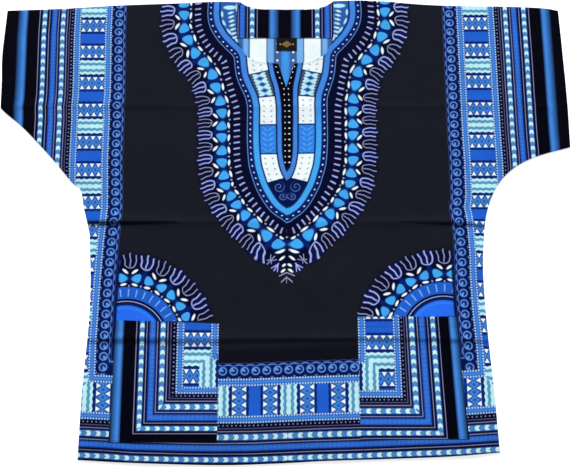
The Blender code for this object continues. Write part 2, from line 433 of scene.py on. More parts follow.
def ripples(x, y):
    """Very low uneven waves, as of cotton that was folded and laid out."""
    wave = np.sin(x / 61 + 1.3 * np.sin(y / 87)) * np.sin(y / 47 + 0.9 * np.sin(x / 73))
    small = np.sin(x / 19 + 2.1 * np.sin(y / 41 + 0.7)) * np.sin(y / 23 + 1.7 * np.sin(x / 37))
    return 0.22 * wave + 0.07 * small


def lift(x, y):
    """How far the front lies above its lowest place. Seams hold it down, and the facing props it up."""
    seam = seam_distance(x, y)
    free = crease_heights(x, y) + mound_heights(x, y) + fold_heights(x, y) + 0.35 + ripples(x, y)
    neck = np.abs(beside(FRONT_NECKLINE, x, y)[0])
    return (np.maximum(free, 0) * smooth(seam / SEAM_HOLD)
            + NECK_RISE * (1 - smooth((neck - NECK_PROP) / NECK_SLOPE)))


def front_underside(x, y):
    """The front's lower face. At a seam it comes down to the back."""
    seam = seam_distance(x, y)
    roll = 1 - smooth(seam / 5)
    return LAYER - (LAYER - SEAM_LAYER) * roll + lift(x, y)


def grid_lines(low, high, step, extra=()):
    """Evenly spaced cut lines, with closer ones where they are given."""
    even = [step * i for i in range(math.ceil(low / step), math.floor(high / step) + 1)]
    return sorted(set(v for v in even if all(abs(v - e) > step * 0.3 for e in extra)) | set(extra))


def crease_lines():
    return [crease.y + offset for crease in CREASES for offset in range(-16, 17, 2)]


def cut_along(bm, axis, value):
    everything = bm.verts[:] + bm.edges[:] + bm.faces[:]
    bmesh.ops.bisect_plane(bm, geom=everything, dist=1e-4, plane_co=axis * value, plane_no=axis)


def cloth(name, edge, underside, x_lines, y_lines, wall=CLOTH):
    """A piece of cloth, cut to its edge, divided along the lines, bent to its underside and given a wall."""
    bm = bmesh.new()
    bm.faces.new([bm.verts.new((x, y, 0)) for x, y in edge])
    bm.normal_update()
    if bm.faces[:][0].normal.z < 0:
        bmesh.ops.reverse_faces(bm, faces=bm.faces[:])
    for x in x_lines:
        cut_along(bm, Vector((1, 0, 0)), x)
    for y in y_lines:
        cut_along(bm, Vector((0, 1, 0)), y)
    bmesh.ops.triangulate(bm, faces=[face for face in bm.faces if len(face.verts) > 4])
    mesh = bpy.data.meshes.new(name)
    bm.to_mesh(mesh)
    bm.free()
    places = points_of(mesh)
    places[:, 2] = underside(places[:, 0], places[:, 1])
    mesh.vertices.foreach_set("co", (places * MM).ravel())
    piece = bpy.data.objects.new(name, mesh)
    bpy.context.scene.collection.objects.link(piece)
    thickness = piece.modifiers.new("wall", "SOLIDIFY")
    thickness.thickness = wall * MM
    thickness.offset = 1.0
    thickness.use_even_offset = False
    apply_modifiers(piece)
    shade(piece)
    return piece


def points_of(mesh):
    places = np.zeros(len(mesh.vertices) * 3)
    mesh.vertices.foreach_get("co", places)
    return places.reshape(-1, 3)


def select_only(piece):
    bpy.ops.object.select_all(action="DESELECT")
    piece.select_set(True)
    bpy.context.view_layer.objects.active = piece


def apply_modifiers(piece):
    select_only(piece)
    for modifier in list(piece.modifiers):
        bpy.ops.object.modifier_apply(modifier=modifier.name)


def shade(piece, angle=50):
    select_only(piece)
    bpy.ops.object.shade_smooth_by_angle(angle=math.radians(angle))


def store(piece, name, *columns):
    """Keeps up to three numbers for each point, which the print reads."""
    columns += (0 * columns[0],) * (3 - len(columns))
    attribute = piece.data.attributes.new(name, "FLOAT_VECTOR", "POINT")
    attribute.data.foreach_set("vector", np.stack(columns, axis=1).astype(np.float32).ravel())


def millimetres(piece):
    places = points_of(piece.data) / MM
    return places[:, 0], places[:, 1]


def coat(piece, material, shown_up=True):
    """A piece's material, and a flat UV map: the face that shows takes most of it, the other a corner."""
    mesh = piece.data
    mesh.materials.append(material)
    low, high = (np.array(corner) for corner in (points_of(mesh).min(0), points_of(mesh).max(0)))
    size = max(high[0] - low[0], high[1] - low[1])
    corners = np.zeros(len(mesh.loops), np.int32)
    mesh.loops.foreach_get("vertex_index", corners)
    places = points_of(mesh)[corners]
    up = np.zeros(len(mesh.loops), bool)
    for polygon in mesh.polygons:
        up[polygon.loop_start:polygon.loop_start + polygon.loop_total] = polygon.normal.z >= 0
    main = up if shown_up else ~up
    u, v = (places[:, 0] - low[0]) / size, (places[:, 1] - low[1]) / size
    flat = np.where(main[:, None], np.stack([u * 0.98 + 0.01, 0.99 - v * 0.98], 1),
                    np.stack([u * 0.15 + 0.01, v * 0.15 + 0.01], 1))
    mesh.uv_layers.new(name="OFBake").data.foreach_set("uv", flat.astype(np.float32).ravel())
    return piece


def border_places(piece):
    """Where each point of a panel lies in the border print: out from the axis, and along each side."""
    x, y = millimetres(piece)
    left = SIDE_AXIS - x + table(LEFT_DRIFT, y)
    right = x - SIDE_AXIS - table(RIGHT_DRIFT, y)
    side = np.where(x < SIDE_AXIS, left, right)
    hem = table(HEM_BANDS, y - table(HEM_DRIFT, x))
    panels = PANEL * np.where(x < SIDE_AXIS, table(LEFT_PANELS, y), table(RIGHT_PANELS, y))
    store(piece, "border", side, hem)
    store(piece, "along", panels, x - HEM_PANEL_X)


def painted_crease_shades(x, y):
    """How much shade is painted into the cloth's creases, from 0 to 1."""
    dark = np.zeros(len(x))
    for shade in SHADES:
        along, across = beside_stretch(shade, x, y)
        half = shade.wide + (shade.narrow - shade.wide) * np.clip(along, 0, 1)
        ends = smooth((along + 0.04) / 0.04) * smooth((1.04 - along) / 0.08)
        dark = np.maximum(dark, shade.depth * ends * np.exp(-(across / half) ** 4))
    return dark


def edge_places(piece, hem, cuff, neck, around):
    """How far each point lies from the sewn edges, and how much shade is painted on it in a crease."""
    x, y = millimetres(piece)
    store(piece, "edge", hem, cuff, neck)
    store(piece, "folds", around, painted_crease_shades(x, y))


def panel_edges(piece, neckline):
    x, y = millimetres(piece)
    hem = np.abs(beside(curve_through(HEM), x, y)[0])
    cuffs = [np.abs(beside(curve_through(cuff), x, y)[0]) for cuff in (RIGHT_CUFF, LEFT_CUFF)]
    neck, around = beside(neckline, x, y)
    edge_places(piece, hem, np.minimum(*cuffs), np.abs(neck), around)


def counted(line, first, x, y):
    """How far points lie beside a guide line, and how far along it, with a pitch between its own points."""
    smooth_line = curve_through(line, 3)
    away, reached = beside(smooth_line, x, y)
    marks = [beside(smooth_line, np.array([px]), np.array([py]))[1][0] for px, py in line]
    return away, np.interp(reached, marks, (np.arange(len(line)) + first) * PETAL_PITCH)


def yoke_places(piece):
    """Where each point lies in the yoke print: beside its bands, and along its petals."""
    x, height = millimetres(piece)
    aside = x - table(AXIS, height)
    y = height - YOKE_SKEW * aside
    aside = np.abs(aside)
    rim, along = beside(curve_through(OUTER_BAND, 3), aside, y)
    inner = beside(curve_through(INNER_BAND, 3), aside, y)[0]
    store(piece, "rim", rim, along, aside)
    dash_away, dash_along = beside(curve_through(DASHES, 3), aside, y)
    dash_along -= math.dist(DASHES[0], DASHES[1])
    store(piece, "core", inner, y, dash_away)
    away, turn = counted(PETALS, -0.5, aside, y)
    turn_outside = counted(FORKS, 0, aside, y)[1]
    out = PETAL_LINE + away
    zone = dash_along
    for fan in FANS:
        dx, dy = x - fan.x, height - fan.y
        radius = np.hypot(dx, dy) / fan.scale
        angle = np.arctan2(dx, dy) - math.radians(fan.waist)
        near = radius < FAN_RADIUS + 60
        turn = np.where(near, angle * FAN_RADIUS * fan.spacing, turn)
        turn_outside = np.where(near, angle * FAN_RADIUS * fan.spacing, turn_outside)
        out = np.where(near, radius - FAN_RADIUS + PETAL_LINE, out)
        zone = np.where(near, FAN_ZONE, zone)
    store(piece, "rays", turn, out, zone)
    store(piece, "forks", turn_outside)


class Value:
    """A socket that can be used in a Python expression."""

    def __init__(self, recipe, socket):
        self.recipe = recipe
        self.socket = socket

    def math(self, operation, *others, clamp=False):
        made = self.recipe.node("ShaderNodeMath", (self, *others), operation=operation, use_clamp=clamp)
        return Value(self.recipe, made.outputs[0])

    def __add__(self, other):
        return self.math("ADD", other)

    def __sub__(self, other):
        return self.math("SUBTRACT", other)

    def __rsub__(self, other):
        return self.math("MULTIPLY_ADD", -1.0, other)

    def __mul__(self, other):
        return self.math("MULTIPLY", other)

    def __lt__(self, other):
        return self.math("LESS_THAN", other)

    def __gt__(self, other):
        return self.math("GREATER_THAN", other)

    def __abs__(self):
        return self.math("ABSOLUTE")

    __radd__ = __add__
    __rmul__ = __mul__

    def repeat(self, pitch):
        """The distance to the nearest multiple of pitch, with its sign."""
        return self.math("WRAP", pitch / 2, -pitch / 2)

    def fold(self, pitch):
        """The distance to the nearest multiple of pitch, without its sign."""
        return self.math("PINGPONG", pitch / 2)

    def mask(self, edge=INK_EDGE):
        """1 inside a shape and 0 outside it, from the distance outside it."""
        return self.math("MULTIPLY_ADD", -1 / edge, 0.5, clamp=True)


def most(first, *others):
    for other in others:
        first = first.math("MAXIMUM", other)
    return first


def least(first, *others):
    for other in others:
        first = first.math("MINIMUM", other)
    return first


def sine(along, length, kind="SINE"):
    """A wave with its length in millimetres."""
    return (along * (2 * math.pi / length)).math(kind)


def distance(x, y):
    return (x.math("MULTIPLY_ADD", x, y * y)).math("SQRT")


def oval(x, y, half_x, half_y):
    """About how far outside an oval a place is, in millimetres."""
    a, b = x * (1 / half_x), y * (1 / half_y)
    return (a.math("MULTIPLY_ADD", a, b * b) - 1) * (min(half_x, half_y) / 2)


def turned(x, y, degrees):
    """The two coordinates in a frame that is turned."""
    c, s = math.cos(math.radians(degrees)), math.sin(math.radians(degrees))
    return x.math("MULTIPLY_ADD", c, y * s), y.math("MULTIPLY_ADD", c, x * -s)


def stroke(x, y, half_length, half_width):
    """A line with round ends, along x."""
    return distance(most(abs(x) - half_length, 0.0), y) - half_width


def linear(ink):
    """An ink as the linear colour that a shader takes."""
    def channel(c):
        c /= 255
        return c / 12.92 if c <= 0.04045 else ((c + 0.055) / 1.055) ** 2.4
    return (channel(ink.red), channel(ink.green), channel(ink.blue), 1)


class Recipe:
    """One material, built node by node."""

    def __init__(self, name):
        self.material = bpy.data.materials.new(name)
        self.material.use_nodes = True
        self.tree = self.material.node_tree
        self.shader = self.tree.nodes["Principled BSDF"]
        self.relief = None

    def node(self, kind, values=(), **settings):
        """Adds a node: its settings first, then the values or links of its sockets, by place or by name."""
        made = self.tree.nodes.new(kind)
        for setting, value in settings.items():
            setattr(made, setting, value)
        named = values.items() if isinstance(values, dict) else enumerate(values)
        for key, value in named:
            self.feed(made.inputs[key], value)
        return made

    def feed(self, socket, value):
        if isinstance(value, Value):
            self.tree.links.new(value.socket, socket)
        elif isinstance(value, Ink):
            socket.default_value = linear(value)
        else:
            socket.default_value = value

    def split(self, vector):
        made = self.node("ShaderNodeSeparateXYZ", [vector])
        return [Value(self, output) for output in made.outputs]

    def parts(self, name):
        """The three numbers that a piece keeps under a name."""
        kept = self.node("ShaderNodeAttribute", attribute_name=name, attribute_type="GEOMETRY")
        return self.split(Value(self, kept.outputs["Vector"]))

    def where(self):
        return Value(self, self.node("ShaderNodeTexCoord").outputs["Object"])

    def place(self):
        """The place on the shirt, in millimetres."""
        return [value * (1 / MM) for value in self.split(self.where())]

    def noise(self, size, detail=2.0, stretch=(1, 1, 1)):
        """Noise from 0 to 1, with spots about size millimetres across."""
        mapped = self.node("ShaderNodeMapping", {"Vector": self.where(), "Scale": stretch})
        made = self.node("ShaderNodeTexNoise", {"Vector": Value(self, mapped.outputs[0]),
                                                "Scale": 1 / (size * MM), "Detail": detail})
        return Value(self, made.outputs["Fac"])

    def mix(self, under, over, share):
        made = self.node("ShaderNodeMix", {0: share, 6: under, 7: over}, data_type="RGBA")
        return Value(self, made.outputs[2])

    def stamp(self, under, ink, outside, edge=INK_EDGE, strength=1.0):
        """Prints an ink or a print inside a shape, which is told by the distance outside it."""
        share = outside.mask(edge)
        if strength != 1.0:
            share = share * strength
        return self.mix(under, ink, share)

    def prints(self, colour, layers):
        """Prints layers one over the other. Each says what stamp says: ink, shape, edge and strength."""
        for layer in layers:
            colour = self.stamp(colour, *layer)
        return colour


def sewn_edges(recipe, colour):
    """The hems: a ridge where the cloth is turned in, a row of black stitches, and shade painted into the
    creases.

    The ridge is kept for the cloth's relief."""
    hem, cuff, neck = recipe.parts("edge")
    around, shade, _ = recipe.parts("folds")
    x, y, z = recipe.place()
    rows = [(hem, HEM_TURN, x), (cuff, CUFF_TURN, y), (neck, NECK_TURN, around)]
    stitches = least(*[stroke(run.repeat(STITCH), away - turn, 1.1, 0.28) for away, turn, run in rows])
    groove = least(*[abs(away - turn) - 0.6 for away, turn, run in rows])
    ridge = most(*[(away - turn - 1.5).mask(1.0) for away, turn, run in rows])
    recipe.relief = ridge * 1.6 - groove.mask(1.2) * 0.8
    # Painted shade: the colour is darkened towards black in the creases.
    colour = recipe.mix(colour, DEEP_BLACK, shade)
    return recipe.stamp(colour, THREAD_BLACK, stitches, 0.4, 0.7)


def cotton(recipe, colour):
    """The cloth itself: a plain weave with slubs, a soft sheen, and the ink a little uneven."""
    x, y, z = recipe.place()
    blotch = recipe.noise(38, 3.0)
    fleck = recipe.noise(1.6, 1.0)
    tone = (blotch - 0.5) * 0.3 + (fleck - 0.5) * 0.35 + 0.97
    shaded = recipe.node("ShaderNodeVectorMath", [colour], operation="SCALE")
    recipe.feed(shaded.inputs["Scale"], tone)
    recipe.feed(recipe.shader.inputs["Base Color"], Value(recipe, shaded.outputs[0]))
    recipe.feed(recipe.shader.inputs["Roughness"], recipe.noise(12, 2.0) * 0.12 + 0.76)
    recipe.shader.inputs["Specular IOR Level"].default_value = 0.03
    recipe.shader.inputs["Sheen Weight"].default_value = 0.005
    recipe.shader.inputs["Sheen Roughness"].default_value = 0.4
    weave = sine(x, 0.9) * sine(y, 0.9)
    slub = recipe.noise(2.2, 1.0, stretch=(1, 0.12, 1)) + recipe.noise(2.2, 1.0, stretch=(0.12, 1, 1))
    height = weave * 0.25 + slub * 0.6 + recipe.noise(9, 2.0) * 0.8
    if recipe.relief:
        height = height + recipe.relief
    bump = recipe.node("ShaderNodeBump", {"Strength": 0.35, "Distance": 0.00025, "Height": height})
    recipe.feed(recipe.shader.inputs["Normal"], Value(recipe, bump.outputs[0]))
    return recipe.material


def dotted_line(out, along):
    """A light line with a row of small white dots on it."""
    return [(DARK_BLUE, abs(out) - 1.3, 1.0, 0.65),
            (DOT_BLUE, oval(along.repeat(DOT_PITCH), out, 1.35, 1.35), 1.1, 0.95)]


def tuft_chain(out, climb):
    """A chain of small white tufts on blue: each has a round head and a notched foot."""
    beyond = abs(out) - 3.8
    notch = beyond * -1.05 - 5.2 - climb
    return [(DARK_BLUE, beyond - 1.6, 1.2),
            (CHAIN_BLUE, beyond + 0.1, 1.2),
            (TEAL, most(beyond + 0.4, abs(climb + 2.2) - 4.5), 2.4, 0.7),
            (DARK_BLUE, most(beyond + 0.6, abs(notch - 1.2) - 0.8), 1.6, 0.45),
            (TUFT_WHITE, most(beyond + 0.6, oval(out, climb + 0.4, 4.0, 4.7), notch), 1.4)]


def panel_blocks(recipe, out, fold):
    """The broad band's blocks: pale bars, small triangles with lozenges, and plain blue, in turn."""
    wavy = sine(out, 10) * 0.8
    bar = fold + wavy * 0.9
    height = abs(fold - 29.75)
    across = abs(out.repeat(POINT_PITCH))
    lozenge = (across * (8 / 5.7) + height - 8.2) * 0.55
    point = abs((out - POINT_PITCH / 2).repeat(POINT_PITCH))
    triangle = most(height - 11.0, (point - (height - 3.9) * (3.8 / 7.1)) * 0.88)
    return recipe.prints(DARK_BLUE, [
        (PALE_CYAN, bar - 13, 1.2),
        (TEAL, abs(bar - 6) - 2.6, 1.6),
        (ROYAL, 45.5 - fold + wavy * 0.4, 1.6),
        (BLOCK_BLUE, height - 11.9, 1.2),
        (MID_BLUE, lozenge, 2.0),
        (DARK_BLUE, oval(across, height, 2.2, 2.9), 2.0, 0.7),
        (DARK_BLUE, triangle - 0.9, 1.2, 0.6),
        (WHITE, triangle, 1.1),
    ])


def ring_band(h, ring_h, along):
    """The innermost band: open rings with a curl, behind a wavy line."""
    swing = sine(along, RING_PITCH, "COSINE") * 1.1
    inner, outer = h - 284.4 - swing, h - 280.9 + swing * 0.8
    y = ring_h - 293.5
    radius = distance(along, y)
    curl = least(oval(along + 3.0, y + 2.2, 2.7, 2.6), oval(along + 0.4, y + 0.6, 1.9, 1.5))
    return [(NAVY, abs(h - 295) - 11.5, 2.5),
            (DARK_BLUE, abs(inner) - 3.2, 2.5),
            (RING_BLUE, abs(inner) - 0.75, 1.1, 0.9),
            (LINE_BLUE, abs(outer) - 0.45, 1.1, 0.7),
            (DARK_BLUE, radius - 8.6, 2.5),
            (RING_BLUE, least(abs(radius - 5.9) - 0.9, curl), 1.0),
            (LIGHT_BLUE, oval(abs(along) - RING_PITCH / 2, h - 305.0, 2.2, 2.0), 1.2, 0.4)]


def border_print(recipe, ground, h, fine, panel_h, panels, ring_h, rings, tufts):
    """The whole border, from its inner edge out to the cuff or the selvage."""
    layers = [(DEEP_BLACK, BORDER_START - h, 8)] + ring_band(h, ring_h, rings)
    for low, high in ((306, 317.5), (361, 373)):
        out, half = abs(h - (low + high) / 2), (high - low) / 2
        layers += [(DARK_BLUE, out - half - 0.6, 1.0),
                   (MID_BLUE, out - half + 0.6, 1.0),
                   (ROYAL, abs(out - 2.2) - 0.7, 1.4, 0.5),
                   (DARK_BLUE, oval((fine - 2.2).repeat(DOT_PITCH), out - 2.2, 1.3, 1.0), 1.2, 0.3)]
        layers += dotted_line(h - (low + 1.2), fine) + dotted_line(h - (high - 1.2), fine)
    middle, half = BROAD_BAND
    layers += [(panel_blocks(recipe, panel_h - middle, panels.fold(PANEL)), abs(h - middle) - half),
               (NIGHT_BLUE, abs(h - 379) - 6, 1.4),
               (LILAC, oval(fine.repeat(7), h - 376.5, 1.0, 1.0), 1.2, 0.8),
               (THIN_LINE, abs(h - 381.0) - 0.6, 1.0, 0.4)]
    layers += [(THIN_LINE, abs(h - place) - 0.6, 1.0) for place in (385.5, 401, 417.5, 435)]
    layers += tuft_chain(h - 393, tufts)
    layers += [(DARK_BLUE, abs(h - 408.5) - 5.8, 2.0),
               (BAND_BLUE, abs(h - 408.5) - 4.1, 2.2),
               (MID_BLUE, oval(fine.repeat(7.3), h - 408.0, 2.8, 3.0), 3.0, 0.5)]
    layers += tuft_chain(h - 426, tufts)
    return recipe.prints(ground, layers + [(MID_BLUE, 457.5 - h, 5.0, (h - 468).mask(12))])


def petal_ring(recipe, turn, out, forks, zone):
    """Petals in pairs, with small white ovals beside them, and forks outside, along the yoke and the fans."""
    a = abs(turn.repeat(2 * PETAL_PITCH))
    y = out - PETAL_LINE
    junction = a - PETAL_PITCH
    tip = (a - 3 - zone * 0.6) * (zone * 0.004 + 0.0606)
    square = tip * tip
    across = (y + (1 - tip) * 2.2) * (zone * 0.02 + 0.098)
    petal = (across * across - tip * (1 - square * square * square) * 1.25) * 4.6
    inner = oval(*turned(a - 10.5, y + 13 - zone, -9), 5.7, 2.0)
    outer = oval(*turned(a - 7.2, y - 10.4, 45), 5.6, 2.0)
    dots = least(oval(junction, y + 13, 1.7, 1.8), oval(a, y + 14.5, 1.5, 1.6))
    bold = abs(forks.repeat(2 * PETAL_PITCH)) > PETAL_PITCH / 2
    shown = least((forks > PETAL_PITCH / 2) + zone, 1.0)
    return [(DARK_BLUE, oval(junction, y - 2, 4.2, 15), 2.5, 0.8),
            (DARK_BLUE, petal - 2.4, 2.5, 0.8),
            (PETAL_BLUE, petal, 1.2),
            (WHITE, least(inner, outer), 1.0),
            (LILAC, dots, 1.2, 0.8)] + fork_row(recipe, forks.repeat(PETAL_PITCH), y - 16, bold, shown, zone)


def fork_row(recipe, x, y, bold, shown, zone):
    """A three-pronged fork: a round foot, two side prongs that lean out and one in the middle."""
    side = abs(x + sine(y, 17) * 0.5 + y * 0.06)
    lean = y.math("MULTIPLY_ADD", -0.04, side)
    foot = distance(lean, least(y - 7, 0.0))
    half = bold * 0.32 + 0.62 - zone * 0.05
    prongs = abs(foot - 7.0) - half
    middle = most(side - half, 2.0 - y)
    fork = most(least(prongs, middle), y - 22.5 - (side < 3) * 3)
    ink = recipe.mix(GREY_LILAC, LILAC, bold)
    return [(NAVY, most(foot - 9.0, y - 24), 4, (bold * 0.8 + 0.1) * shown), (ink, fork, 1.1, shown)]


def tip_ornament(aside, y):
    """The spray of leaves under the yoke's point, with a small arrow below it."""
    leaves = [(WHITE, oval(*turned(aside - centre, y - height, -38), half, 1.9), 1.0)
              for centre, height, half in ((8.5, -69, 5.6), (5.2, -81, 3.6), (6.5, -90.5, 4.4))]
    line = abs(aside * 0.45 + y + 93.5) * 0.9 - 0.8
    barb = abs(aside * 0.95 + y + 101) * 0.72 - 0.8
    stem = most(aside - 0.9, abs(y + 105.5) - 6)
    x, up = turned(aside - 27, y + 72, -48)
    twig = least(stroke(x, up, 9, 0.8), most(abs(abs(up) - abs(x) * 0.7 - 1.5) - 0.7, abs(x + 1.5) - 6))
    x, up = turned(aside - 18, y + 84, -58)
    spray = least(stroke(x, up, 7, 1.0), most(abs(abs(up) - (x + 6) * 0.5) - 0.9, abs(x) - 6))
    return leaves + [(GREY_LILAC, most(line, aside - 13), 1.0),
                     (GREY_LILAC, least(most(barb, aside - 9.5), stem), 1.0),
                     (GREY_LILAC, twig, 1.0),
                     (NAVY, distance(x, up) - 9, 4),
                     (LILAC, spray, 1.0)]


def fan_print(turn, out):
    """A half rosette's inside: a broad band with dashes, a pale arc and a bright disc."""
    radius = out + (FAN_RADIUS - PETAL_LINE)
    dash = stroke(radius - 82, turn.repeat(math.radians(9.2) * FAN_RADIUS) * 0.76, 5.4, 1.0)
    return [(ROYAL, abs(radius - 81.8) - 9.8),
            (LIGHT_BLUE, dash, 1.0),
            (LILAC, abs(radius - 67.6) - 0.65, 1.0),
            (DARK_BLUE, abs(radius - 63.6) - 0.8, 1.2),
            (BRIGHT_BLUE, radius - 61, 2.0),
            (PETAL_BLUE, abs(radius - 56.5) - 1.2, 3.0, 0.35)]


def rim_print(recipe, rim, along, y, dash_away, dash_along):
    """The lines round the yoke: the blue band, white dots, a lilac line and a row of dashes."""
    blue = recipe.stamp(MID_BLUE, PETAL_BLUE, y - 190, 160)
    dots = oval(*turned(along.repeat(DASH_PITCH), rim - 9.9, 30), 1.5, 1.0)
    dash = stroke(*turned(dash_away, dash_along.repeat(DASH_PITCH), -8), 4.2, 1.3)
    every_third = abs((dash_along - DASH_PITCH).repeat(3 * DASH_PITCH)) - DASH_PITCH / 2
    return [(DARK_BLUE, abs(rim - 8) - 7, 3, 0.6),
            (DARK_BLUE, abs(rim) - 7.6, 2.0),
            (blue, abs(rim) - 4.6, 1.6),
            (WHITE, dots, 1.0, 0.95),
            (RING_BLUE, abs(rim - 15.1) - 0.6, 1.0),
            (recipe.stamp(LILAC, GREY_LILAC, every_third, 0.5), dash, 1.3)]


def yoke_blocks(recipe, rim, inner, aside, y):
    """What lies between the yoke's bands: white, patterned and blue blocks, one under the other."""
    off = abs((inner + rim) * 0.5)
    row = (y - 2).repeat(9.6)
    tick = least(oval(*turned(off - 6.3, row, 35), 1.9, 1.0), oval(off - 7.4, row - 0.8, 0.9, 0.9))
    white = recipe.stamp(WHITE, DARK_BLUE, tick, 1.3, 0.8)
    sprig = oval(*turned(off - 5.8, (y - 143).repeat(9.4), 38), 5.0, 1.5)
    berry = oval(off - 7.5, (y + 1).repeat(12.5), 1.8, 1.3)
    blue = recipe.prints(BLOCK_SKY, [(LIGHT_BLUE, sprig, 2.2, 0.6), (ROYAL, berry, 1.8, 0.6)])
    level = y + (aside - 38) * least(most(y - 195, 0.0), 75.0) * 0.0034
    diamond = off * 0.62 + abs((level - 232.5).repeat(11.8)) * 0.95 - 5.0
    teeth = 12.4 - off - abs(level.repeat(5.9))
    check = recipe.prints(PALE_CYAN, [(CHAIN_BLUE, diamond, 2.2), (DARK_BLUE, diamond + 2.2, 2.2, 0.9),
                                      (NAVY, teeth, 1.2, 0.9)])
    heart = NAVY
    for centre, height, reach in ((14.5, 56, 9.5), (8.5, 39, 7)):
        around = distance(aside - centre, y - height)
        swirl = (y - height).math("ARCTAN2", aside - centre) * (reach / 3 / math.pi)
        scroll = abs((around + swirl).repeat(reach / 1.5)) - 0.85
        heart = recipe.stamp(heart, SCROLL_BLUE, most(scroll, around - reach), 1.3, 0.85)
    ends = least(oval(aside - 97, y - 393, 11.5, 3.9), oval(aside - 85.8, y - 393, 1.3, 6.5))
    row = aside - 96 + (382.5 - y) * 0.12
    leaves = most(oval(*turned(row, (y - 382.5).repeat(8.1), -20), 5.4, 2.1), y - 387)
    beads = oval((y - 380).repeat(17.3), rim + 10.3, 5.6, 1.9)
    top = recipe.stamp(BLOCK_BLUE, PALE_CYAN, least(ends, leaves, most(beads, y - 389)), 1.4)
    layers = [(white, 74 - aside * 0.27 - y, 1.4)]
    for foot, fill in ((116, blue), (169, white), (221, check), (268, white)):
        layers += [(fill, foot - level, 1.0), (DARK_BLUE, abs(level - foot) - 1.3, 1.2)]
    return recipe.prints(heart, layers + [(top, 300 - y, 1.0)])


def yoke_print(recipe, rim, along, inner, aside, y, dash_away, dash_along):
    """The yoke inside its outer band."""
    dots = most(oval(aside - 4 - most(y - 236, 0.0) * 0.3, (y - 6.2).repeat(10.4), 0.9, 1.1), 97 - y)
    return rim_print(recipe, rim, along, y, dash_away, dash_along) + [
        (yoke_blocks(recipe, rim, inner, aside, y), rim + 7.4, 1.2),
        (NAVY, inner - 6.2, 1.4),
        (MID_BLUE, inner - 3.6, 1.4),
        (NAVY, inner + 3.4, 1.4),
        (DEEP_BLACK, inner + 5.4, 2.0),
        (WHITE, dots, 1.0),
    ]


def border_coordinates(recipe, cornered=False):
    """How far out in the border a place is, and its places in the lines, panels, rings and tufts."""
    side, hem, _ = recipe.parts("border")
    along_side, along_hem, _ = recipe.parts("along")
    x, y, z = recipe.place()
    on_side = side > hem
    h = most(side, hem)
    fine = along_hem + (along_side - along_hem) * on_side
    panel_h, panels = h, fine
    if cornered:
        beside = along_hem < -13
        panel_h, panels = h + (side - h) * beside, most(along_side, along_hem - beside * 1000)
    ring_side, ring_hem = (y - 257).repeat(RING_PITCH), (x - HEM_PANEL_X).repeat(17.8)
    side_ring = (side > least(hem, 276.0)) * least((hem < 306) + on_side, 1.0)
    rings = ring_hem + (ring_side - ring_hem) * side_ring
    ring_h = hem + (side - hem) * side_ring
    tuft_side, tuft_hem = (y - 8).repeat(TUFT_PITCH), (4.5 - abs(x - 8)).repeat(15.7)
    tufts = tuft_hem + (tuft_side - tuft_hem) * on_side
    return h, fine, panel_h, panels, ring_h, rings, tufts


def shirt_print(recipe, pocketed=True):
    """The whole print of a panel: the yoke, the two fans and the border round them, with shade painted on the
    border towards the hem.
    """
    turn, out, dash_along = recipe.parts("rays")
    forks, _, _ = recipe.parts("forks")
    side, hem, _ = recipe.parts("border")
    rim, along, aside = recipe.parts("rim")
    inner, height, dash_away = recipe.parts("core")
    x, y, z = recipe.place()
    zone = dash_along < FAN_ZONE / 2
    # The plain ground's grey is partly painted sheen; it turns to deep black towards the hem border.
    plain = recipe.stamp(DYE_AND_SHEEN_BLACK, DEEP_BLACK, 256 - hem, 12, 0.6)
    ground = recipe.stamp(NIGHT_BLUE, plain, 100 - out, 14)
    ringed = recipe.prints(ground, petal_ring(recipe, turn, out, forks, zone))
    yoke = yoke_print(recipe, rim, along, inner, aside, height, dash_away, dash_along)
    fan = fan_print(turn, out) + [(NAVY, most(275.5 - side, out - 100), 3.0)]
    if pocketed:
        below = y + 172 - x * 0.017
        fan += [(plain, below, 1.5), (NAVY, most(below, 250 - side), 3.0)]
    colour = recipe.mix(recipe.prints(ringed, tip_ornament(aside, height) + yoke),
                        recipe.prints(ringed, fan), zone)
    h, *rows = border_coordinates(recipe)
    border = border_print(recipe, colour, h, *rows)
    # Painted shade: the border is darkened a little towards the hem.
    return recipe.stamp(colour, recipe.stamp(border, DEEP_BLACK, 372 - hem, 16, 0.14), BORDER_START - h, 4.0)


def front_cotton():
    recipe = Recipe("front_print")
    return cotton(recipe, sewn_edges(recipe, shirt_print(recipe)))


def pocket_cotton(name):
    recipe = Recipe(name)
    colour = border_print(recipe, DEEP_BLACK, *border_coordinates(recipe, cornered=True))
    return cotton(recipe, sewn_edges(recipe, colour))


def back_cotton():
    """The back: its outer print below, and its paler wrong side above, where the neck shows it."""
    recipe = Recipe("back_print")
    x, y, z = recipe.place()
    aside = abs(x - 4)
    inside = recipe.prints(SLATE, [
        (MID_BLUE, aside - 7.5, 2.0),
        (PETAL_BLUE, aside - 4, 6, 0.6),
        (WHITE, oval(aside - 14, (y - 2).repeat(16), 2.0, 2.0), 1.2),
        (LIGHT_BLUE, abs(aside - 26) - 5.5, 2.5),
        (WHITE, abs(aside - 48) - 14.5, 1.6),
        (LIGHT_BLUE, abs(aside - 70) - 4.5, 4.5),
    ])
    outside = sewn_edges(recipe, shirt_print(recipe, pocketed=False))
    return cotton(recipe, recipe.stamp(outside, inside, 0.35 - z, 0.2))


def facing_cotton():
    recipe = Recipe("facing_print")
    x, y, z = recipe.place()
    h = 484 - abs(x - 3)
    return cotton(recipe, border_print(recipe, DEEP_BLACK, h, y, h, y, h, y, (y - 8.5).repeat(TUFT_PITCH)))


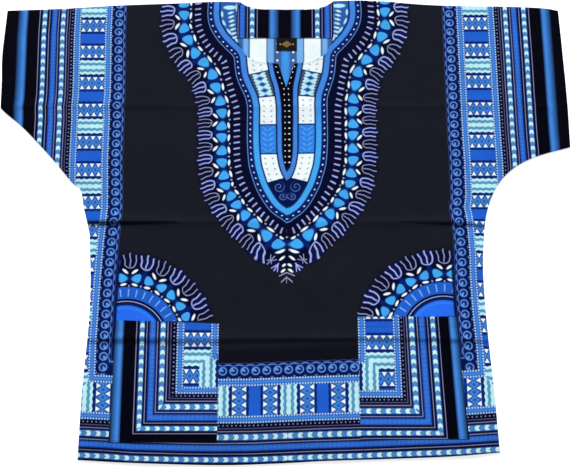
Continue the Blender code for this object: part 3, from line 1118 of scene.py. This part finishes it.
def label_satin():
    """Black woven satin with a plain woven ornament: a double border and a row of lozenges."""
    recipe = Recipe("label_satin")
    x, y, z = recipe.place()
    width, height = LABEL_SIZE
    across = x - LABEL_MIDDLE_X
    up = y - (FACING_DEPTH_Y - 0.3 - height / 2)
    lozenge = abs(across) * 0.62 + abs(up)
    rows = most(abs(lozenge.repeat(2.2)) - 0.45, lozenge - 6.4)
    sides = abs(abs(across) - 11.5) + abs(up) * 0.8 - 1.6
    colour = recipe.prints(LABEL_BLACK, [(GOLD, rows, 0.5), (GOLD, sides, 0.5)])
    recipe.feed(recipe.shader.inputs["Base Color"], colour)
    recipe.feed(recipe.shader.inputs["Roughness"], recipe.noise(3, 2.0) * 0.1 + 0.38)
    recipe.shader.inputs["Specular IOR Level"].default_value = 0.05
    bump = recipe.node("ShaderNodeBump", {"Strength": 0.3, "Distance": 0.0001, "Height": sine(y, 0.5)})
    recipe.feed(recipe.shader.inputs["Normal"], Value(recipe, bump.outputs[0]))
    return recipe.material


def build_panel(name, cut, neckline, underside, creased, material, shown_up):
    """The front or the back: cut out and bent, with its places in the print, and printed."""
    panel = cloth(name, outline(cut), underside, grid_lines(-HALF_SPAN, HALF_SPAN, GRID),
                  grid_lines(-HALF_LENGTH, HALF_LENGTH, GRID, creased))
    border_places(panel)
    yoke_places(panel)
    panel_edges(panel, neckline)
    return coat(panel, material, shown_up)


def build_front():
    return build_panel("front_cloth", FRONT_NECKLINE, FRONT_NECKLINE, front_underside, crease_lines(),
                       front_cotton(), shown_up=True)


def build_back():
    return build_panel("back_cloth", BACK_NECKLINE, curve_through(BACK_NECKLINE), lambda x, y: 0 * x, (),
                       back_cotton(), shown_up=False)


def build_facing():
    left, right = FACING_SIDES
    top = [(x, y - 1.5) for x, y in curve_through(BACK_NECKLINE)]
    edge = straight([(left, FACING_DEPTH_Y), (right, FACING_DEPTH_Y), (right, top[0][1])])[:-1] + top
    edge += [(left, top[-1][1])]
    facing = cloth("facing_cloth", edge, lambda x, y: LAYER - 0.4 + 0 * x, grid_lines(left, right, GRID),
                   grid_lines(FACING_DEPTH_Y, HALF_LENGTH, GRID))
    return coat(facing, facing_cotton())


def build_label():
    width, height = LABEL_SIZE
    left, top = LABEL_MIDDLE_X - width / 2, FACING_DEPTH_Y - 0.3
    edge = straight([(left, top - height), (left + width, top - height), (left + width, top), (left, top),
                     (left, top - height)], 3)[:-1]
    label = cloth("label_cloth", edge, lambda x, y: LAYER - 0.3 + 0.25 * np.sin(x / 6) ** 2,
                  grid_lines(left, left + width, 2), grid_lines(top - height, top, 2), wall=0.6)
    return coat(label, label_satin())


def pocket_sides(pocket, y):
    """How far left and right a pocket reaches at a height."""
    rise = [pocket.foot, pocket.mouth]
    return (np.interp(y, rise, [pocket.foot_left, pocket.mouth_left]),
            np.interp(y, rise, [pocket.foot_right, pocket.mouth_right]))


def pocket_underside(pocket):
    """A pocket lies on the front: its sides and foot are sewn down, and its mouth gapes a little."""
    def height(x, y):
        left, right = pocket_sides(pocket, y)
        low = np.minimum(x - left, right - x)
        held = np.minimum(low, y - pocket.foot)
        gape = smooth((y - pocket.mouth + 60) / 60) * smooth(low / 50)
        return front_underside(x, y) + CLOTH + 0.15 + 0.35 * smooth(held / 12) + 0.9 * gape
    return height


def pocket_edge(pocket):
    return straight([(pocket.foot_left, pocket.foot), (pocket.foot_right, pocket.foot),
                     (pocket.mouth_right, pocket.mouth - pocket.droop),
                     (pocket.mouth_left, pocket.mouth + pocket.droop),
                     (pocket.foot_left, pocket.foot)])[:-1]


def build_pocket(pocket, side_rows, foot_rows, slant, corner_x, corner_y, facing):
    left, right = min(pocket.foot_left, pocket.mouth_left), max(pocket.foot_right, pocket.mouth_right)
    ys = grid_lines(pocket.foot, pocket.mouth, GRID * 0.7,
                    [y for y in crease_lines() if pocket.foot < y < pocket.mouth])
    cloth_piece = cloth(pocket.name + "_cloth", pocket_edge(pocket), pocket_underside(pocket),
                        grid_lines(left, right, GRID * 0.7), ys)
    x, y = millimetres(cloth_piece)
    drop = (pocket.mouth - y) / (pocket.mouth - pocket.foot)
    store(cloth_piece, "border", table(side_rows, x - slant(x) * drop), table(foot_rows, y))
    store(cloth_piece, "along", y - corner_y, (x - corner_x) * facing)
    sides = pocket_sides(pocket, y)
    mouth = pocket.mouth + pocket.droop * np.interp(x, [left, right], [1, -1])
    edge_places(cloth_piece, y - pocket.foot + HEM_TURN - POCKET_TURN,
                np.minimum(x - sides[0], sides[1] - x) + CUFF_TURN - POCKET_TURN,
                mouth - y - POCKET_HEM + NECK_TURN, x)
    return coat(cloth_piece, pocket_cotton(pocket.name + "_print"))


def build_pockets():
    left, right = POCKETS
    return [
        build_pocket(left, LEFT_POCKET_SIDE, LEFT_POCKET_FOOT, lambda x: 0 * x, -122, -235.5, 1),
        build_pocket(right, RIGHT_POCKET_SIDE, RIGHT_POCKET_FOOT, lambda x: table(POCKET_SLANT, x), 142, -240,
                     -1),
    ]


def build_floor():
    bpy.ops.object.select_all(action="DESELECT")
    bpy.ops.mesh.primitive_plane_add(size=12, location=(0, 0, -0.0002))
    floor = bpy.context.object
    floor.name = "floor"
    paper = Recipe("floor_paper")
    paper.feed(paper.shader.inputs["Base Color"], Ink(250, 250, 250))
    paper.shader.inputs["Roughness"].default_value = 0.9
    paper.shader.inputs["Emission Color"].default_value = (1, 1, 1, 1)
    paper.shader.inputs["Emission Strength"].default_value = 0.55
    floor.data.materials.append(paper.material)


def add_camera():
    camera = bpy.data.objects.new("camera", bpy.data.cameras.new("camera"))
    bpy.context.scene.collection.objects.link(camera)
    camera.location = CAMERA_TARGET + CAMERA_DISTANCE * Vector((0, -math.sin(CAMERA_TILT),
                                                                math.cos(CAMERA_TILT)))
    camera.rotation_euler = (CAMERA_TILT, 0, 0)
    camera.data.lens = CAMERA_LENS
    camera.data.sensor_width = 36
    bpy.context.scene.camera = camera
    bpy.context.scene.view_settings.view_transform = "Standard"


def add_lights():
    world = bpy.data.worlds.new("studio")
    bpy.context.scene.world = world
    world.use_nodes = True
    world.node_tree.nodes["Background"].inputs["Color"].default_value = (1, 1, 1, 1)
    world.node_tree.nodes["Background"].inputs["Strength"].default_value = 0.38
    key = bpy.data.lights.new("key", "SUN")
    key.energy = 4.4
    key.angle = math.radians(14)
    light = bpy.data.objects.new("key", key)
    bpy.context.scene.collection.objects.link(light)
    light.rotation_euler = Vector((-0.25, 1.9, 1.0)).to_track_quat("Z", "Y").to_euler()


def dress():
    add_camera()
    add_lights()
    build_floor()
    front = build_front()
    back = build_back()
    facing = build_facing()
    label = build_label()
    pockets = build_pockets()
    dressed = [(front, "front_panel", "ground_cotton"), (back, "back_panel", "ground_cotton"),
               (facing, "neck_facing", "printed_cotton"), (label, "neck_label", "label_satin")]
    dressed += [(piece, pocket.name, "printed_cotton") for piece, pocket in zip(pockets, POCKETS)]
    for piece, node, slot in dressed:
        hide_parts(node)
        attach(piece, "root")


dress()
